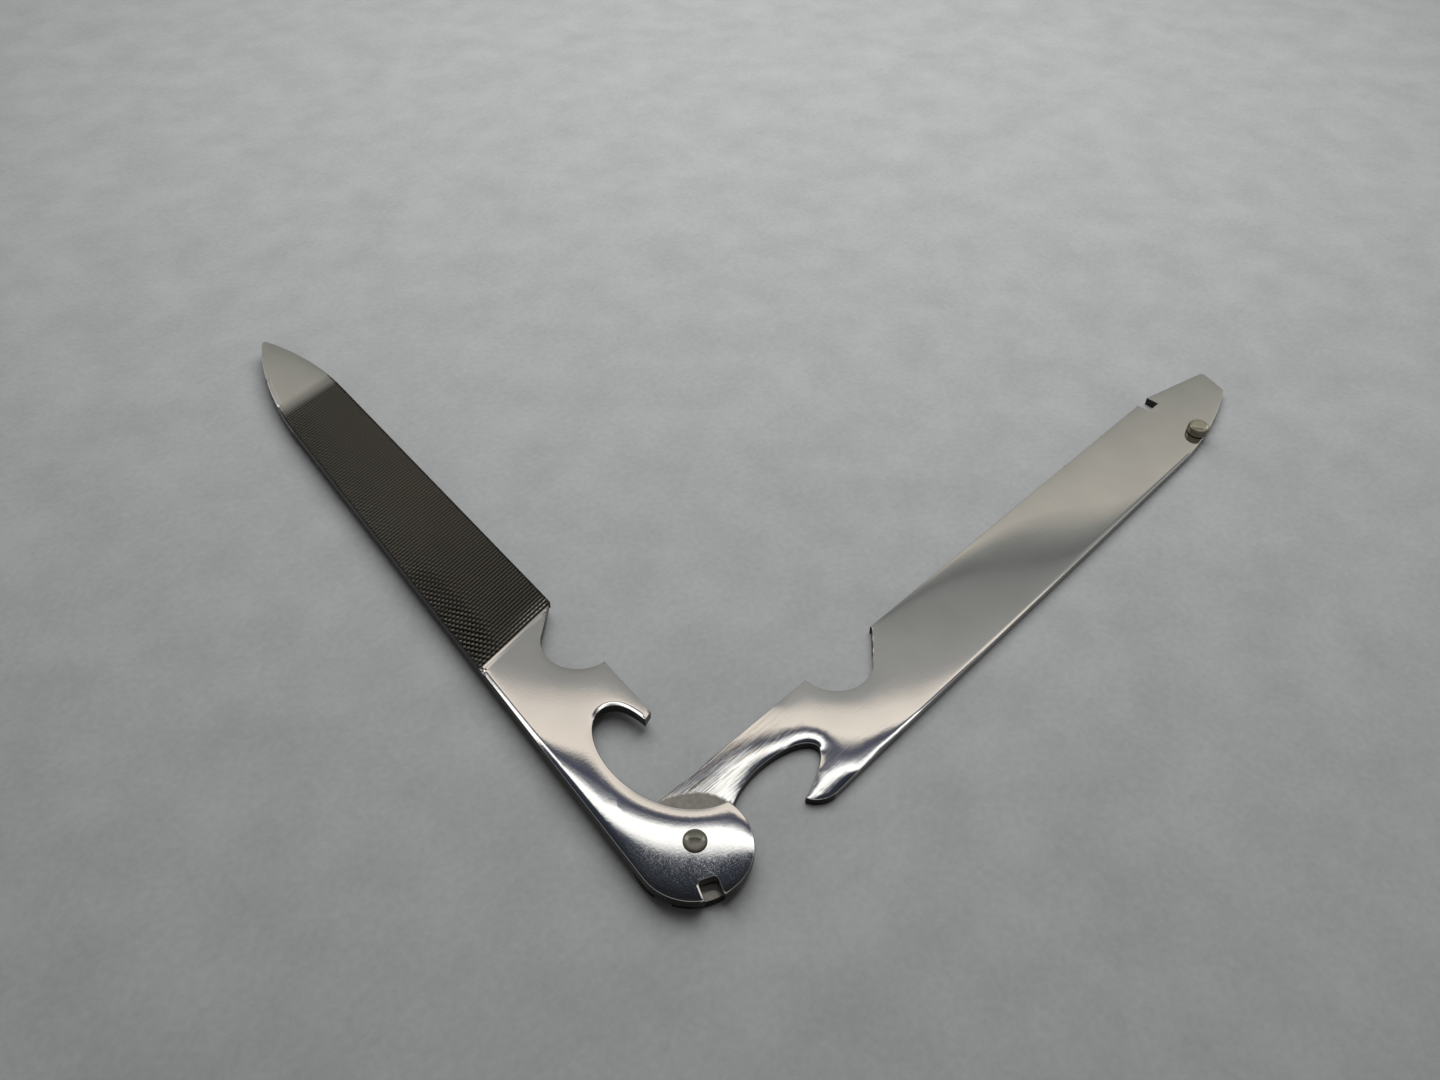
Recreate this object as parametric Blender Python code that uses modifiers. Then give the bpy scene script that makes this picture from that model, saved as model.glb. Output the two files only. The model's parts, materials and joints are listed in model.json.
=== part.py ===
"""Folding pocket nail clipper: two flat steel blades that turn on one rivet.

Metres, +Z up, origin under the middle of the open tool. The opener blade lies underneath along +X and the
file blade lies on it, opened to a V. Each blade is drawn in its own frame: x runs from the pivot to the
tip and +y is the edge that the file blade moves towards as it opens. That edge is straight and tangent to
the round head, so the two edges lie over each other when the tool is closed. The head's middle is a little
off the rivet.
"""

import math

import bmesh
import bpy

MM = 0.001


def mm(*values):
    """Millimetres to metres."""
    return tuple(value * MM for value in values)


# Driving dimensions shared by both blades
BLADE_THICKNESS = 0.8 * MM
BLADE_GAP = 0.05 * MM
OPENING_ANGLE = math.radians(82.3)
HEAD_RADIUS = 4.2 * MM
HEAD_CENTRE = mm(-0.15, 0.25)
STRAIGHT_EDGE = HEAD_CENTRE[1] + HEAD_RADIUS
HEAD_CORNER = math.radians(288)
EDGE_ROUND = 0.15 * MM
SLOT_WIDTH = 1.4 * MM
SLOT_DEPTH = 1.55 * MM
NOTCH_RADIUS = 3.1 * MM
NOTCH_RUN = 4.7 * MM
NOTCH_TANGENT = math.radians(43)
CRESCENT_START_HANDLE = mm(1.6, -0.6)
CRESCENT_BACK_RUN = 3.4 * MM
CRESCENT_REACH = 0.58
CRESCENT_DROP = 0.55
CRESCENT_RETURN = 0.41

# File blade, upper left
FILE_LENGTH = 72.3 * MM
FILE_CRESCENT_BACK = mm(8.4, 1.45)
FILE_CRESCENT_END = mm(13.05, -1.15)
FILE_HOOK_INNER = mm(10.26, -3.0)
FILE_HOOK_OUTER = mm(10.7, -3.8)
FILE_HOOK_HANDLE = mm(1.69, 0.25)
FILE_SLOT_ANGLE = math.radians(163.5)
FILE_EDGE_NEAR = mm(24.7, -3.55)
FILE_EDGE_FAR = mm(62.0, -1.92)
FILE_TIP_HEIGHT = 1.25 * MM
FILE_TIP_ROUND = 0.3 * MM
FILE_TIP_LOW = math.radians(-55)
FILE_TIP_HIGH = math.radians(70)
FILE_TIP_HANDLES = (mm(4.2, 0.3), mm(-2.2, -1.25), mm(-3.0, 1.4), mm(6.2, 0))
FILE_SHOULDER = 57.5 * MM
FILE_NOTCH_CENTRE = mm(19.9, -3.45)

# File teeth: grooves across the blade, leaning away from square to it
TOOTH_PITCH = 0.32 * MM
TOOTH_DEPTH = 0.1 * MM
TOOTH_UNEVENNESS = 0.08
TOOTH_UNEVEN_STEP = 2.4
TOOTH_LAND = 0.01 * MM
TOOTH_LEAN = math.radians(18)
TOOTH_START = 23.2 * MM
TOOTH_END = 62.4 * MM

# Opener blade, upper right
OPENER_LENGTH = 75.0 * MM
OPENER_CRESCENT_BACK = mm(8.0, 1.43)
OPENER_CRESCENT_END = mm(12.35, -0.3)
OPENER_HOOK_TIP = mm(8.45, -2.6)
OPENER_HOOK_HANDLE = mm(1.7, 0.4)
OPENER_HOOK_BELLY = mm(10.2, -3.9)
OPENER_BELLY_HANDLES = (mm(0.1, -0.5), mm(-0.9, 0.05))
OPENER_EDGE_FAR = mm(62.5, -2.9)
OPENER_END_TOP = (OPENER_LENGTH, 2.8 * MM)
OPENER_END_BOTTOM = mm(74.1, -0.4)
OPENER_END_ROUND = 0.45 * MM
OPENER_END_LOW = math.radians(-68)
OPENER_END_HIGH = math.radians(78)
OPENER_END_HANDLES = (mm(4.5, 0.25), mm(-2.6, -1.05))
OPENER_TAPER_START = 67.4 * MM
OPENER_NOTCH_CENTRE = mm(19.4, 4.25)
OPENER_SLOT_ANGLE = math.radians(199)
NICK_START = 65.5 * MM
NICK_LENGTH = 1.7 * MM
NICK_DEPTH = 1.25 * MM

# Pivot rivet and stop stud, each headed on top and peened flush into a countersink below
PIN_CLEARANCE = 0.05 * MM
RIVET_HEAD_RADIUS = 0.86 * MM
RIVET_DOME = 0.5 * MM
RIVET_SHANK_RADIUS = 0.6 * MM
RIVET_TAIL_RADIUS = 0.9 * MM
STUD_PLACE = mm(66.0, -1.7)
STUD_HEAD_RADIUS = 1.05 * MM
STUD_SIDE = 0.35 * MM
STUD_DOME = 0.65 * MM
STUD_SHANK_RADIUS = 0.45 * MM
STUD_TAIL_RADIUS = 0.65 * MM
COUNTERSINK = 0.35 * MM

# Facets of a round stretch, and how far a cutter reaches past what it cuts
ARC_STEP = math.radians(9)
CURVE_STEPS = 9
PIN_STEPS = 32
DOME_STEPS = 6
OVERCUT = 1.0 * MM

# Colours and finish
BLADE_COLOUR = (0.72, 0.71, 0.69, 1)
FILE_COLOUR = (0.66, 0.65, 0.63, 1)
RIVET_COLOUR = (0.45, 0.45, 0.44, 1)
STUD_COLOUR = (0.62, 0.59, 0.5, 1)
BLADE_ROUGHNESS = 0.16
PIN_ROUGHNESS = 0.3
SHARP_ANGLE = math.radians(40)


def arc(centre, radius, start, end):
    """Points on a circle from one angle to another."""
    steps = max(2, math.ceil(abs(end - start) / ARC_STEP))
    angles = [start + (end - start) * step / steps for step in range(steps + 1)]
    return [(centre[0] + radius * math.cos(a), centre[1] + radius * math.sin(a)) for a in angles]


def bend(start, start_handle, end_handle, end):
    """Points on a cubic curve, without its first point."""
    points = []
    for step in range(1, CURVE_STEPS + 1):
        t = step / CURVE_STEPS
        weights = ((1 - t) ** 3, 3 * t * (1 - t) ** 2, 3 * t * t * (1 - t), t ** 3)
        corners = (start, start_handle, end_handle, end)
        points.append(tuple(sum(w * p[axis] for w, p in zip(weights, corners)) for axis in (0, 1)))
    return points


def moved(point, offset):
    return (point[0] + offset[0], point[1] + offset[1])


def turned(point, angle):
    cosine = math.cos(angle)
    sine = math.sin(angle)
    return (point[0] * cosine - point[1] * sine, point[0] * sine + point[1] * cosine)


def head_and_crescent(back, end, hook, hook_handle):
    """The round head from its straight edge to the crescent, then the crescent to the hook's tip."""
    points = arc(HEAD_CENTRE, HEAD_RADIUS, math.pi / 2, HEAD_CORNER)
    points += bend(points[-1], CRESCENT_START_HANDLE, moved(back, (-CRESCENT_BACK_RUN, 0)), back)
    along = end[0] - back[0]
    across = back[1] - end[1]
    back_handle = moved(back, (along * CRESCENT_REACH, 0))
    points += bend(back, back_handle, moved(end, (0, across * CRESCENT_DROP)), end)
    points += bend(end, moved(end, (0, -across * CRESCENT_RETURN)), moved(hook, hook_handle), hook)
    return points


def file_outline():
    """Head, hook, tapered edge, pointed tip with a small round, straight edge."""
    points = head_and_crescent(FILE_CRESCENT_BACK, FILE_CRESCENT_END, FILE_HOOK_INNER, FILE_HOOK_HANDLE)
    points += [FILE_HOOK_OUTER, FILE_EDGE_NEAR, FILE_EDGE_FAR]
    tip_centre = (FILE_LENGTH - FILE_TIP_ROUND, FILE_TIP_HEIGHT)
    tip = arc(tip_centre, FILE_TIP_ROUND, FILE_TIP_LOW, FILE_TIP_HIGH)
    edge_handle, low_handle, high_handle, shoulder_handle = FILE_TIP_HANDLES
    points += bend(FILE_EDGE_FAR, moved(FILE_EDGE_FAR, edge_handle), moved(tip[0], low_handle), tip[0])
    points += tip[1:]
    shoulder = (FILE_SHOULDER, STRAIGHT_EDGE)
    points += bend(tip[-1], moved(tip[-1], high_handle), moved(shoulder, shoulder_handle), shoulder)
    return points


def opener_outline():
    """Head, clawed hook, edge, slanted flat end with rounded corners, straight edge."""
    hook = OPENER_HOOK_TIP
    belly = OPENER_HOOK_BELLY
    points = head_and_crescent(OPENER_CRESCENT_BACK, OPENER_CRESCENT_END, hook, OPENER_HOOK_HANDLE)
    points += bend(hook, moved(hook, OPENER_BELLY_HANDLES[0]), moved(belly, OPENER_BELLY_HANDLES[1]), belly)
    points += [OPENER_EDGE_FAR]
    rise = OPENER_END_TOP[1] - OPENER_END_BOTTOM[1]
    slant = math.atan2(OPENER_END_TOP[0] - OPENER_END_BOTTOM[0], rise)
    low = moved(OPENER_END_BOTTOM, (-OPENER_END_ROUND * math.cos(slant), OPENER_END_ROUND))
    high = moved(OPENER_END_TOP, (-OPENER_END_ROUND, -OPENER_END_ROUND))
    low_corner = arc(low, OPENER_END_ROUND, OPENER_END_LOW, -slant)
    high_corner = arc(high, OPENER_END_ROUND, -slant, OPENER_END_HIGH)
    edge_handle = moved(OPENER_EDGE_FAR, OPENER_END_HANDLES[0])
    points += bend(OPENER_EDGE_FAR, edge_handle, moved(low_corner[0], OPENER_END_HANDLES[1]), low_corner[0])
    points += low_corner[1:] + high_corner
    points += [(OPENER_TAPER_START, STRAIGHT_EDGE)]
    return points


def notch_outline(centre, side):
    """A nail notch: round near the pivot, then straight out to the far corner. side is the edge's sign."""
    inner = arc(centre, NOTCH_RADIUS, -side * math.pi, -side * NOTCH_TANGENT)
    far_corner = moved(centre, (NOTCH_RUN, 0))
    beyond = (0, side * 3 * OVERCUT)
    return inner + [far_corner, moved(far_corner, beyond), moved(inner[0], beyond)]


def tooth_profile():
    """A saw edge: one V for each groove, closed well above the blade. The depths vary a little."""
    count = round((TOOTH_END - TOOTH_START) * math.cos(TOOTH_LEAN) / TOOTH_PITCH)
    edge = []
    for groove in range(count):
        depth = TOOTH_DEPTH * (1 + TOOTH_UNEVENNESS * math.sin(TOOTH_UNEVEN_STEP * groove))
        edge.append((groove * TOOTH_PITCH, TOOTH_LAND))
        edge.append(((groove + 0.5) * TOOTH_PITCH, -depth))
    edge.append((count * TOOTH_PITCH, TOOTH_LAND))
    return edge + [(count * TOOTH_PITCH, OVERCUT), (0, OVERCUT)]


def outline_mesh(name, points, thickness):
    """A flat outline given a thickness, from z = 0 up."""
    curve = bpy.data.curves.new(name, "CURVE")
    curve.dimensions = "2D"
    curve.fill_mode = "BOTH"
    curve.extrude = thickness / 2
    spline = curve.splines.new("POLY")
    spline.points.add(len(points) - 1)
    for point, (x, y) in zip(spline.points, points):
        point.co = (x, y, 0, 1)
    spline.use_cyclic_u = True
    holder = bpy.data.objects.new(name, curve)
    bpy.context.scene.collection.objects.link(holder)
    depsgraph = bpy.context.evaluated_depsgraph_get()
    mesh = bpy.data.meshes.new_from_object(holder.evaluated_get(depsgraph))
    bpy.data.objects.remove(holder)
    bpy.data.curves.remove(curve)

    solid = bmesh.new()
    solid.from_mesh(mesh)
    bmesh.ops.remove_doubles(solid, verts=solid.verts, dist=0.001 * MM)
    bmesh.ops.translate(solid, verts=solid.verts, vec=(0, 0, thickness / 2))
    bmesh.ops.dissolve_limit(solid, angle_limit=math.radians(0.1), verts=solid.verts, edges=solid.edges)
    bmesh.ops.recalc_face_normals(solid, faces=solid.faces)
    solid.to_mesh(mesh)
    solid.free()
    mesh.name = name
    return mesh


def profile_mesh(name, profile):
    """A turned shape's half section: radius and height, from the top down its outer side."""
    mesh = bpy.data.meshes.new(name)
    edges = [(i, i + 1) for i in range(len(profile) - 1)]
    mesh.from_pydata([(radius, 0, height) for radius, height in profile], edges, [])
    return mesh


def add_screw(piece):
    screw = piece.modifiers.new("Turn", "SCREW")
    screw.axis = "Z"
    screw.steps = PIN_STEPS
    screw.render_steps = PIN_STEPS
    screw.use_merge_vertices = True
    screw.merge_threshold = 0.0001 * MM
    screw.use_smooth_shade = True


def pin_profile(head_radius, side, dome, shank_radius, grip, tail_radius):
    """A headed pin: dome, head side, shank through the grip, tail spread into its countersink."""
    top = grip + PIN_CLEARANCE + side
    points = []
    for step in range(DOME_STEPS + 1):
        angle = math.pi / 2 * step / DOME_STEPS
        points.append((head_radius * math.sin(angle), top + dome * math.cos(angle)))
    if side:
        points.append((head_radius, top - side))
    points += [(shank_radius, top - side), (shank_radius, COUNTERSINK), (tail_radius, 0), (0, 0)]
    return points


def bore_profile(shank_radius, tail_radius):
    """The countersunk hole for a pin, with its clearance, past both faces of the blade."""
    hole = shank_radius + PIN_CLEARANCE
    mouth = tail_radius + PIN_CLEARANCE
    top = BLADE_THICKNESS + OVERCUT
    return [(0, top), (hole, top), (hole, COUNTERSINK), (mouth, 0), (mouth, -OVERCUT), (0, -OVERCUT)]


def material(name, colour, roughness):
    surface = bpy.data.materials.new(name)
    surface.use_nodes = True
    shader = surface.node_tree.nodes["Principled BSDF"]
    shader.inputs["Base Color"].default_value = colour
    shader.inputs["Metallic"].default_value = 1.0
    shader.inputs["Roughness"].default_value = roughness
    return surface


def clear_scene():
    for old in list(bpy.data.objects):
        bpy.data.objects.remove(old)


def new_collection(name):
    collection = bpy.data.collections.new(name)
    bpy.context.scene.collection.children.link(collection)
    return collection


def add_piece(mesh, collection, parent, surface):
    piece = bpy.data.objects.new(mesh.name, mesh)
    collection.objects.link(piece)
    piece.parent = parent
    mesh.materials.append(surface)
    return piece


def add_cutter(mesh, collection, parent):
    cutter = bpy.data.objects.new(mesh.name, mesh)
    collection.objects.link(cutter)
    cutter.parent = parent
    cutter.hide_render = True
    cutter.display_type = "WIRE"
    return cutter


def add_empty(name, collection, parent, location, turn):
    empty = bpy.data.objects.new(name, None)
    collection.objects.link(empty)
    empty.parent = parent
    empty.location = location
    empty.rotation_euler.z = turn
    return empty


def round_edges(piece):
    bevel = piece.modifiers.new("Rolled edge", "BEVEL")
    bevel.width = EDGE_ROUND
    bevel.segments = 2
    bevel.limit_method = "ANGLE"
    bevel.angle_limit = math.radians(60)


def cut(piece, cutter):
    boolean = piece.modifiers.new(cutter.name, "BOOLEAN")
    boolean.operation = "DIFFERENCE"
    boolean.solver = "EXACT"
    boolean.object = cutter


def smooth(piece):
    piece.data.shade_smooth()
    piece.data.set_sharp_from_angle(angle=SHARP_ANGLE)


def add_rim_slot(name, blade, angle, cutters, parent):
    """The wire slot, cut into the head's rim in the direction of an angle."""
    inner = HEAD_RADIUS - SLOT_DEPTH
    outer = HEAD_RADIUS + OVERCUT
    half = SLOT_WIDTH / 2
    box = outline_mesh(name, [(inner, -half), (outer, -half), (outer, half), (inner, half)], 4 * OVERCUT)
    slot = add_cutter(box, cutters, parent)
    slot.rotation_euler.z = angle
    slot.location = (*HEAD_CENTRE, -OVERCUT)
    cut(blade, slot)


def add_nail_notch(name, blade, centre, side, cutters, parent):
    notch = add_cutter(outline_mesh(name, notch_outline(centre, side), 4 * OVERCUT), cutters, parent)
    notch.location.z = -OVERCUT
    cut(blade, notch)


def add_teeth(blade, cutters, parent):
    """The saw-edged cutter, laid across the blade at the teeth's lean."""
    width = 8 * HEAD_RADIUS
    teeth = add_cutter(outline_mesh("teeth_cutter", tooth_profile(), width), cutters, parent)
    line = (math.sin(TOOTH_LEAN), -math.cos(TOOTH_LEAN))
    teeth.location = (TOOTH_START - line[0] * width / 2, -line[1] * width / 2, BLADE_THICKNESS)
    teeth.rotation_euler = (math.pi / 2, 0, TOOTH_LEAN)
    cut(blade, teeth)


def build_opener_blade(parts, cutters, pivot):
    surface = material("opener_steel", BLADE_COLOUR, BLADE_ROUGHNESS)
    blade = add_piece(outline_mesh("opener_blade", opener_outline(), BLADE_THICKNESS), parts, pivot, surface)
    round_edges(blade)
    add_nail_notch("opener_notch_cutter", blade, OPENER_NOTCH_CENTRE, 1, cutters, pivot)
    add_rim_slot("opener_slot_cutter", blade, OPENER_SLOT_ANGLE, cutters, pivot)

    nick_end = NICK_START + NICK_LENGTH
    nick_floor = STRAIGHT_EDGE - NICK_DEPTH
    nick_mouth = STRAIGHT_EDGE + OVERCUT
    nick_points = [(NICK_START, nick_floor), (nick_end, nick_floor)]
    nick_points += [(nick_end, nick_mouth), (NICK_START, nick_mouth)]
    nick = add_cutter(outline_mesh("nick_cutter", nick_points, 4 * OVERCUT), cutters, pivot)
    nick.location.z = -OVERCUT
    cut(blade, nick)

    for name, place, shank, tail in (("rivet_bore_cutter", (0, 0), RIVET_SHANK_RADIUS, RIVET_TAIL_RADIUS),
                                     ("stud_bore_cutter", STUD_PLACE, STUD_SHANK_RADIUS, STUD_TAIL_RADIUS)):
        bore = add_cutter(profile_mesh(name, bore_profile(shank, tail)), cutters, pivot)
        bore.location = (*place, 0)
        add_screw(bore)
        cut(blade, bore)
    smooth(blade)


def build_file_blade(parts, cutters, hinge):
    surface = material("file_steel", FILE_COLOUR, BLADE_ROUGHNESS)
    blade = add_piece(outline_mesh("file_blade", file_outline(), BLADE_THICKNESS), parts, hinge, surface)
    round_edges(blade)
    add_nail_notch("file_notch_cutter", blade, FILE_NOTCH_CENTRE, -1, cutters, hinge)
    add_rim_slot("file_slot_cutter", blade, FILE_SLOT_ANGLE, cutters, hinge)
    hole = RIVET_SHANK_RADIUS + PIN_CLEARANCE
    hole_profile = [(0, 2 * OVERCUT), (hole, 2 * OVERCUT), (hole, -OVERCUT), (0, -OVERCUT)]
    bore = add_cutter(profile_mesh("file_bore_cutter", hole_profile), cutters, hinge)
    add_screw(bore)
    cut(blade, bore)
    add_teeth(blade, cutters, hinge)
    smooth(blade)


def build_pins(parts, pivot):
    rivet_grip = 2 * BLADE_THICKNESS + BLADE_GAP
    rivet_profile = pin_profile(
        RIVET_HEAD_RADIUS, 0, RIVET_DOME, RIVET_SHANK_RADIUS, rivet_grip, RIVET_TAIL_RADIUS)
    rivet_steel = material("rivet_steel", RIVET_COLOUR, PIN_ROUGHNESS)
    rivet = add_piece(profile_mesh("pivot_rivet", rivet_profile), parts, pivot, rivet_steel)
    add_screw(rivet)
    stud_profile = pin_profile(
        STUD_HEAD_RADIUS, STUD_SIDE, STUD_DOME, STUD_SHANK_RADIUS, BLADE_THICKNESS, STUD_TAIL_RADIUS)
    stud_steel = material("stud_steel", STUD_COLOUR, PIN_ROUGHNESS)
    stud = add_piece(profile_mesh("stop_stud", stud_profile), parts, pivot, stud_steel)
    stud.location = (*STUD_PLACE, 0)
    add_screw(stud)


def pivot_place():
    """Where the rivet stands when the origin is under the middle of the open tool."""
    points = opener_outline() + [turned(point, OPENING_ANGLE) for point in file_outline()]
    low = [min(point[axis] for point in points) for axis in (0, 1)]
    high = [max(point[axis] for point in points) for axis in (0, 1)]
    return (-(low[0] + high[0]) / 2, -(low[1] + high[1]) / 2, 0)


def main():
    clear_scene()
    parts = new_collection("folding_nail_clipper")
    cutters = new_collection("cutters")
    pivot = add_empty("pivot", parts, None, pivot_place(), 0)
    hinge = add_empty("file_hinge", parts, pivot, (0, 0, BLADE_THICKNESS + BLADE_GAP), OPENING_ANGLE)
    build_opener_blade(parts, cutters, pivot)
    build_file_blade(parts, cutters, hinge)
    build_pins(parts, pivot)


main()
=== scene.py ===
"""Looks of the folding nail clipper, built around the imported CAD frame.

Each blade is redrawn from the same dimensions as the solids, as one fine closed mesh: outline, rolled rims,
a slight crown towards the edges and, on the file, a double-cut set of teeth. Blade frames are in
millimetres: x runs from the rivet to the tip and +y is the straight edge.
"""

import json
import math
from collections import namedtuple

import bpy
import numpy as np
from mathutils import Matrix, Vector
from mathutils.geometry import delaunay_2d_cdt


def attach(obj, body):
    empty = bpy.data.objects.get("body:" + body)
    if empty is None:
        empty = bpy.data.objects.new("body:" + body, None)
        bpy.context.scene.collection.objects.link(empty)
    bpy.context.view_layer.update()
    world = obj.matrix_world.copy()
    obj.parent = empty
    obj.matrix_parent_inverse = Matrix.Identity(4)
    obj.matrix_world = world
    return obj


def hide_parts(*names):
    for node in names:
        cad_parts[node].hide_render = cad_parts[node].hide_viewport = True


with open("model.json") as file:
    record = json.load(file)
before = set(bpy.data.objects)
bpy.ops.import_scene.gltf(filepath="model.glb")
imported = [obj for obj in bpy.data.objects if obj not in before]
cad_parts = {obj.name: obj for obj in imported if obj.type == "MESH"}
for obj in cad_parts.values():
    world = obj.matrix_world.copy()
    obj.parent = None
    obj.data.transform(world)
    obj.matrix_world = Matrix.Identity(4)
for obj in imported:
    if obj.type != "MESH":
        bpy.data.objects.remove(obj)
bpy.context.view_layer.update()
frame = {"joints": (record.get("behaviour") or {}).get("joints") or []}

MM = 0.001
PIVOT = Vector(frame["joints"][0]["pos_m"])

# Blade sizes, as in the solids. The head's corner and the notches' tangent are angles in degrees
THICKNESS = 0.8
GAP = 0.05
OPENING = math.radians(82.3)
HEAD_CENTRE = (-0.15, 0.25)
HEAD_RADIUS = 4.2
HEAD_CORNER = 288
EDGE = HEAD_CENTRE[1] + HEAD_RADIUS
SLOT_WIDTH = 1.4
SLOT_DEPTH = 1.55
NOTCH_RADIUS = 3.1
NOTCH_RUN = 4.7
NOTCH_TANGENT = 43
NICK_NEAR = 65.5
NICK_FAR = 67.2
NICK_DEPTH = 1.25
DRIVER_ROUND = 0.45
STUD_PLACE = (66.0, -1.7)
# Holes: place, radius on top and radius of the mouth underneath
OPENER_HOLES = [((0, 0), 0.65, 0.95), (STUD_PLACE, 0.5, 0.7)]
FILE_HOLES = [((0, 0), 0.65, 0.65)]

# Only here: the head is drawn a hair smaller, and the slots have rounded corners
HEAD_INSET = 0.002
SLOT_ROUND = 0.3

# Roll of the rims, and how far in the crown towards them reaches at some places along each blade
ROLL_HEAD = 0.07
ROLL_BLADE = 0.06
ROLL_NOTCH = 0.065
ROLL_FILE = 0.04
ROLL_SLOT = 0.03
UNDER_ROLL_SHARE = 0.6
FILE_REACH = ((0, 0.75), (80, 0.75))
OPENER_REACH = ((3, 3.0), (8, 1.3), (16, 1.3), (26, 1.0))

# The polished bevel inside some rims: its widths, how much it steepens to the rim and its soft inner edges
FILE_BEVEL = 0.38
OPENER_BEVEL = 0.22
SLOT_BEVEL = 0.13
BEVEL_GROWTH = 0.1
BEVEL_BLEND = 0.045
SLOT_BLEND = 0.012

# File teeth: the fade is in rows and the land is a share of a row
TOOTH_PITCH = 0.32
TOOTH_DEPTH = 0.1
TOOTH_LEAN = math.radians(18)
TOOTH_START = 23.2
TOOTH_ROWS = 115
TOOTH_FADE = 3
TOOTH_LAND = 0.24
CROSS_PITCH = 0.45
CROSS_LEAN = math.radians(-52)
CROSS_DEPTH = 0.08
# The raised lip at the teeth's near end: distance from the teeth and height above the blade
LIP = ((0.0, 0.009), (0.2, 0.002), (0.245, -0.025), (0.29, 0.003), (0.46, 0.0), (0.6, 0.0))

# Mesh spacing
RIM_STEP = 0.4
FILE_STEP = 0.16
ROW_HALF = 7.5
ROW_STEP = 0.15
GRID_STEP = (0.6, 0.52)
GRID_MARGIN = 2.0
HOLE_MARGIN = 0.1
PIN_SIDES = 72
# Rings of points that follow the rim: angles on its roll, places in its bevel and depths inside it
ROLL_RINGS = (75, 58, 42, 28, 14, 0)
BEVEL_RINGS = (-2.5, -1, 0, 1, 2.5, 5)
DEEP_RINGS = (0.8, 1.2, 1.7)
# How far along the rim crowns are evened out, and the slope of the shading at the rim itself
CROWN_BLEND = 2.5
RIM_STEEPNESS = 20

# A stretch of outline: its roll, crown, bevel slope at both ends, and how dark its wall is, partly the
# duller sheared steel and partly painted shade set stretch by stretch
Stretch = namedtuple("Stretch", "points roll crown bevel wall", defaults=(None, (0, 0), 1))
# A closed outline, with the roll, crown, bevel and wall of the edge that leaves each point
Rim = namedtuple("Rim", "points rolls crowns bevels walls")
# One face of a blade: points, triangles, drop below the flat, slope, rim vertex numbers and tooth marks
Skin = namedtuple("Skin", "flat faces drop lean place toothed")

# Outlines


def arc(centre, radius, start, end, step=4.0):
    """Points on a circle between two angles in degrees."""
    count = max(2, math.ceil(abs(end - start) / step))
    angles = np.radians(np.linspace(start, end, count + 1))
    return [(centre[0] + radius * math.cos(a), centre[1] + radius * math.sin(a)) for a in angles]


def bend(start, start_handle, end_handle, end, steps=22):
    """Points on a cubic curve."""
    t = np.linspace(0, 1, steps + 1)[:, None]
    corners = [np.array(p) for p in (start, start_handle, end_handle, end)]
    weights = ((1 - t) ** 3, 3 * t * (1 - t) ** 2, 3 * t * t * (1 - t), t ** 3)
    return [tuple(p) for p in sum(w * c for w, c in zip(weights, corners))]


def off(point, dx, dy):
    return (point[0] + dx, point[1] + dy)


def toward(a, b):
    """The direction from one point to another."""
    length = math.dist(a, b)
    return ((b[0] - a[0]) / length, (b[1] - a[1]) / length)


def rounded(before, corner, after):
    """A corner replaced by a small bend."""
    start = off(corner, *(SLOT_ROUND * v for v in toward(corner, before)))
    end = off(corner, *(SLOT_ROUND * v for v in toward(corner, after)))
    handles = [tuple(0.4 * a + 0.6 * b for a, b in zip(point, corner)) for point in (start, end)]
    return bend(start, *handles, end, 6)


def head(slot_angle, crown, bevel):
    """The round head with its wire slot, up to the crescent, and the corner that it ends at."""
    radius = HEAD_RADIUS - HEAD_INSET
    half = math.degrees(math.asin(SLOT_WIDTH / 2 / radius))
    before = arc(HEAD_CENTRE, radius, 90, slot_angle - half)
    after = arc(HEAD_CENTRE, radius, slot_angle + half, HEAD_CORNER)
    angle = math.radians(slot_angle)
    floor = HEAD_RADIUS - SLOT_DEPTH
    inner = []
    for across in (-SLOT_WIDTH / 2, SLOT_WIDTH / 2):
        x = floor * math.cos(angle) - across * math.sin(angle)
        y = floor * math.sin(angle) + across * math.cos(angle)
        inner.append(off(HEAD_CENTRE, x, y))
    bends = [*rounded(before[-1], *inner), *rounded(*inner, after[0])]
    stretches = [
        Stretch(before, ROLL_HEAD, crown),
        Stretch([before[-1], bends[0]], ROLL_SLOT, None, (bevel, bevel)),
        Stretch([*bends, after[0]], ROLL_SLOT),
        Stretch(after, ROLL_HEAD, crown)]
    return stretches, after[-1]


def crescent(start, back, end, hook, hook_handle, crowns, bevels):
    """From the head's corner round the crescent to the hook's tip, as three stretches."""
    reach = (end[0] - back[0]) * 0.58
    drop = (back[1] - end[1]) * 0.55
    near = bend(start, (1.6, -0.6), off(back, -3.4, 0), back)
    far = bend(back, off(back, reach, 0), off(end, 0, drop), end)
    inner = bend(end, off(end, 0, (end[1] - back[1]) * 0.41), off(hook, *hook_handle), hook)
    return [Stretch(points, ROLL_HEAD, crown, bevel)
            for points, crown, bevel in zip((near, far, inner), crowns, bevels)]


def notch(centre, side):
    """A nail notch from its round end near the pivot to the far corner."""
    points = arc(centre, NOTCH_RADIUS, -side * 180, -side * NOTCH_TANGENT, 5)
    return points + [off(centre, NOTCH_RUN, 0)]


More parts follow.
